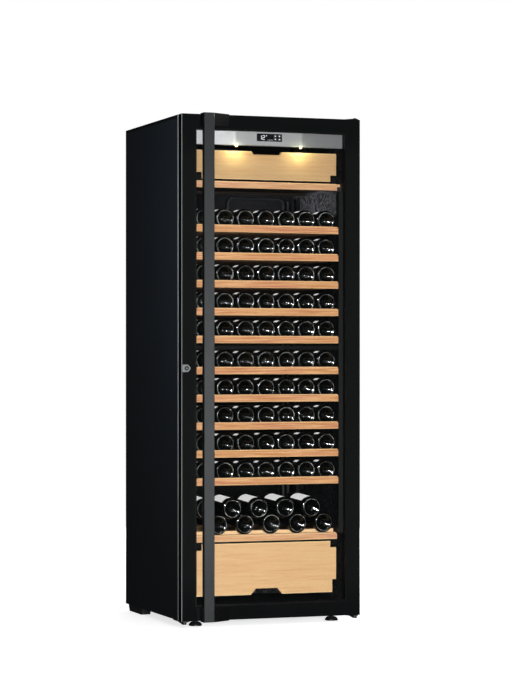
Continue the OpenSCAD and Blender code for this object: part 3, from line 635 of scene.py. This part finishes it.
def disc(x, z, r, sides=16):
    """The outline of a disc about x, z."""
    return [(x + r * math.cos(a), z + r * math.sin(a))
            for a in (2 * math.pi * k / sides for k in range(sides))]


SEGMENTS = {"1": "bc", "2": "abged"}
# Places on the display, from the lower left corner of its window.
DIGIT_X, DIGIT_Z, DIGIT_W, DIGIT_H, DIGIT_PITCH = 0.009, 0.006, 0.008, 0.0145, 0.0125
DEGREE_X, DEGREE_Z, DEGREE_R = 0.0365, 0.020, 0.0018
DASHES, DASH_X, DASH_Z, DASH_W, DASH_T, DASH_PITCH = 4, 0.041, 0.005, 0.0035, 0.0011, 0.005
PROUD, MARK_T, KEY_MARK_T = 0.0002, 0.0003, 0.0004
# Outlines on the keys, in mm from the middle of the key.
KEY_MARKS = {"up": [(-2.6, -1.8), (2.6, -1.8), (0, 2.4)],
             "down": [(-2.6, 1.8), (2.6, 1.8), (0, -2.4)],
             "light": disc(0, 0, 2.2),
             "set": [(-2.4, -1.4), (2.4, -1.4), (2.4, 1.4), (-2.4, 1.4)]}


def digit(parts, shape, x, z, y):
    """A seven-segment digit with its lower left corner at x, z."""
    w, h = DIGIT_W, DIGIT_H
    ends = {"a": ((0, h), (w, h)), "b": ((w, h), (w, h / 2)), "c": ((w, h / 2), (w, 0)),
            "d": ((0, 0), (w, 0)), "e": ((0, h / 2), (0, 0)), "g": ((0, h / 2), (w, h / 2))}
    for name in SEGMENTS[shape]:
        (ax, az), (bx, bz) = ends[name]
        bar(parts, (x + ax, z + az), (x + bx, z + bz), w * 0.2, y, MARK_T)


def light_up_display():
    """Two digits, a degree ring and four dashes on the display, and a mark on each key."""
    glow = lit("digit_glow", rgb(222, 230, 236), 0.9, rgb(200, 205, 210))
    corner = low("display_window")
    face = corner.y - PROUD
    parts = Parts()
    for k, shape in enumerate("12"):
        digit(parts, shape, corner.x + DIGIT_X + DIGIT_PITCH * k, corner.z + DIGIT_Z, face)
    prism(parts, disc(corner.x + DEGREE_X, corner.z + DEGREE_Z, DEGREE_R), face, MARK_T)
    for k in range(DASHES):
        x, z = corner.x + DASH_X + DASH_PITCH * k, corner.z + DASH_Z
        bar(parts, (x, z), (x + DASH_W, z), DASH_T, face, MARK_T)
    parts.make("display_digits", [glow], "cabinet", flat=(0,))
    for name, outline in KEY_MARKS.items():
        key = "key_" + name
        middle = (low(key) + high(key)) / 2
        parts = Parts()
        prism(parts, [(middle.x + x * MM, middle.z + z * MM) for x, z in outline],
              low(key).y - PROUD, KEY_MARK_T)
        parts.make(key + "_mark", [glow], key + "_body", flat=(0,))


# ---------------------------------------------------------------- stage, light and camera

def aim(obj, target):
    obj.rotation_euler = (Vector(target) - obj.location).to_track_quat("-Z", "Y").to_euler()


def reach_only(lamp, objects):
    """Limits what a lamp lights to these objects."""
    reached = bpy.data.collections.new(lamp.name + "_reach")
    for obj in objects:
        reached.objects.link(obj)
    lamp.light_linking.receiver_collection = reached


def softbox(name, place, target, size, watts, only=None):
    """A white area light aimed at target. It reaches the objects in only, or all where only is None."""
    data = bpy.data.lights.new(name, "AREA")
    data.shape = "RECTANGLE"
    data.size, data.size_y = size
    data.energy = watts
    lamp = put_in_scene(name, data)
    lamp.location = place
    aim(lamp, target)
    lamp.visible_camera = False
    if only:
        reach_only(lamp, only)
    return lamp


# The lamps' light leaves from below and before their lenses, and inward of their outer edge.
DOWNLIGHT_IN, DOWNLIGHT_FORWARD, DOWNLIGHT_DROP = 0.0055, 0.008, 0.004


def downlights():
    """The two warm lamps under the fascia, just in front of the upper flap."""
    corner, far_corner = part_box("lamps")
    near = [frame["nodes"][name] for name in ("upper_flap", "control_fascia", "upper_shelf")]
    for side in (-1, 1):
        data = bpy.data.lights.new("downlight", "POINT")
        data.energy, data.color, data.shadow_soft_size = 0.28, (0.95, 1.0, 0.6), 0.004
        lamp = put_in_scene("downlight", data)
        lamp.location = (side * (far_corner.x - DOWNLIGHT_IN), corner.y - DOWNLIGHT_FORWARD,
                         corner.z - DOWNLIGHT_DROP)
        lamp.parent = frame["bodies"]["cabinet"]
        reach_only(lamp, near)


def backdrop():
    """White where the camera looks past the object. Other rays meet a dim room, lighter in front."""
    world = bpy.data.worlds.new("studio")
    bpy.context.scene.world = world
    world.use_nodes = True
    tree = world.node_tree

    def node(kind, **values):
        made = tree.nodes.new("ShaderNode" + kind)
        for socket, value in values.items():
            made.inputs[socket.replace("_", " ")].default_value = value
        return made

    room = tree.nodes["Background"]
    room.inputs["Color"].default_value = (0.94, 0.97, 1.0, 1)
    seen = node("Background", Color=(1, 1, 1, 1))
    lobe = node("VectorMath")
    lobe.operation = "DOT_PRODUCT"
    lobe.inputs[1].default_value = Vector((0.3, -0.95, 0.1)).normalized()
    ramp = node("MapRange", From_Min=0.72, From_Max=1.0, To_Min=0.02, To_Max=0.1)
    ramp.interpolation_type = "SMOOTHSTEP"
    join = node("MixShader")
    for start, end in ((node("TexCoord").outputs["Generated"], lobe.inputs[0]),
                       (lobe.outputs["Value"], ramp.inputs["Value"]),
                       (ramp.outputs["Result"], room.inputs["Strength"]),
                       (node("LightPath").outputs["Is Camera Ray"], join.inputs["Fac"]),
                       (room.outputs[0], join.inputs[1]),
                       (seen.outputs[0], join.inputs[2]),
                       (join.outputs[0], tree.nodes["World Output"].inputs["Surface"])):
        tree.links.new(start, end)


def studio():
    """Soft boxes round the object. Those with only keep their gloss or light off the black parts."""
    nodes = frame["nodes"]
    meshes = [obj for obj in bpy.data.objects if obj.type == "MESH"]
    bottles = [obj for obj in meshes if "_row_" in obj.name]
    others = [obj for obj in meshes if obj not in bottles]
    front = (0, -0.3, 0.9)
    key, key_target, key_size, key_watts = (-1.0, -5.5, 0.75), (-0.1, -0.3, 0.75), (2.8, 2.4), 242
    softbox("key", key, key_target, key_size, key_watts, only=others)
    softbox("bottle_key", key, key_target, key_size, key_watts, only=bottles).visible_glossy = False
    softbox("low_fill", (-0.5, -3.6, 0.3), (0, -0.3, 0.2), (1.8, 0.5), 48, only=others)
    softbox("top", (-0.5, -1.8, 3.4), (0, 0, 1.4), (1.4, 0.8), 18)
    softbox("right", (4.6, 0.8, 1.7), (0.34, 0, 0.9), (2.4, 2.4), 150)
    softbox("back", (1.6, 4.2, 1.6), (0, 0.3, 0.9), (2.4, 2.4), 90)
    softbox("side_glow", (-1.05, -1.0, 1.5), (-0.34, -0.1, 1.25), (0.2, 1.2), 42,
            only=[nodes["side_panel_left"]]).visible_glossy = False
    softbox("door_sheen", (2.0, -5.6, 0.9), front, (3.0, 2.6), 3.5, only=[nodes["door_glass_outer"]])
    softbox("grip_sheen", (2.0, -5.6, 0.95), front, (1.6, 0.3), 92, only=[nodes["handle_bar"]])
    bay = low("upper_shelf").z - 0.03
    softbox("bay_glow", (0.05, -0.02, bay), (0.28, 0.12, bay - 0.05), (0.2, 0.05), 1.6,
            only=[nodes["inner_liner"]])
    for name, place, size, watts in (("glint_key", (-5.0, -8.5, 3.6), 1.5, 1025),
                                     ("glint_left", (-6.2, -3.6, 3.9), 1.7, 1187.5),
                                     ("glint_right", (5.2, -4.6, 3.4), 1.4, 500)):
        softbox(name, place, front, (size, size), watts, only=bottles).visible_diffuse = False


FLOOR_REACH, FLOOR_STEPS = 14.0, 24


def floor():
    """Pale floor that brightens to the white of the studio away from the object."""
    row = FLOOR_STEPS + 1
    spots = [-FLOOR_REACH + 2 * FLOOR_REACH * i / FLOOR_STEPS for i in range(row)]
    points = [(x, y, 0) for y in spots for x in spots]
    corners = [j * row + i for j in range(FLOOR_STEPS) for i in range(FLOOR_STEPS)]
    look = Look("floor", Roughness=0.9, Specular_IOR_Level=0.0, Emission_Color=(1, 1, 1, 1))
    far = look.add("VectorMath", props={"operation": "LENGTH"}, out="Value", i0=look.place)
    mottle = look.noise(2.0, 3.0)
    look.use(Base_Color=look.mix(mottle, rgb(244, 244, 244), rgb(250, 250, 250)),
             Emission_Strength=look.fit(far, 0.4, 1.3, 0.72, 1.0))
    mesh = bpy.data.meshes.new("floor")
    mesh.from_pydata(points, [], [[k, k + 1, k + 1 + row, k + row] for k in corners])
    mesh.materials.append(look.material)
    ground = put_in_scene("floor", mesh)
    ground.visible_glossy = ground.visible_diffuse = False


def camera():
    """A long lens, level at mid height, that sees the front and a strip of the left side."""
    data = bpy.data.cameras.new("camera")
    data.lens, data.sensor_width = 122.537, 36.0
    data.shift_y = 0.01642
    data.clip_end = 100
    cam = put_in_scene("camera", data)
    cam.location = (-2.95293, -8.34567, 0.94617)
    cam.rotation_euler = (math.pi / 2, 0, -0.34876)
    bpy.context.scene.camera = cam


camera()
floor()
dress_nodes()
fill_shelves()
light_up_display()
downlights()
backdrop()
studio()
bpy.context.scene.view_settings.view_transform = "Standard"
